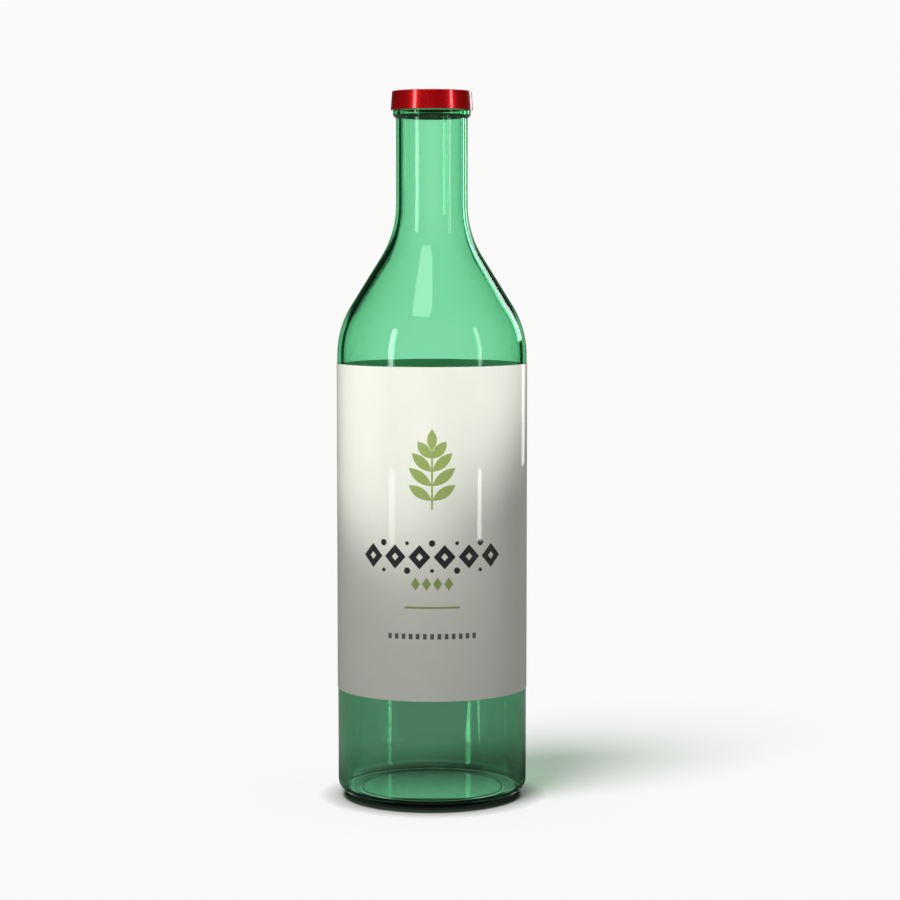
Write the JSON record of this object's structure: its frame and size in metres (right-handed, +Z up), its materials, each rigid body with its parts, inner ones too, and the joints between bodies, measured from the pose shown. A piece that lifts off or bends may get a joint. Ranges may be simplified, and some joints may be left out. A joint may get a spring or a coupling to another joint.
{
  "type": "oil and vinegar bottle",
  "caption": "Tall round bottle of green glass for oil or vinegar, with a sloping shoulder, a straight neck, a low metal cap and a paper label wrapped round it.",
  "frame": {"origin": "centre of the foot, on the surface the bottle stands on", "axes": "+Z up along the bottle's axis of symmetry, -Y towards the front of the label"},
  "size_m": [0.0756, 0.0756, 0.2787],
  "materials": {
    "green_glass": "clear green glass, polished",
    "red_metal": "glossy dark red lacquer",
    "paper": "off-white semi-matte paper with printed ornaments"
  },
  "bodies": {
    "root": {"bottle": "green_glass", "cap": "red_metal", "label": "paper"}
  },
  "joints": []
}
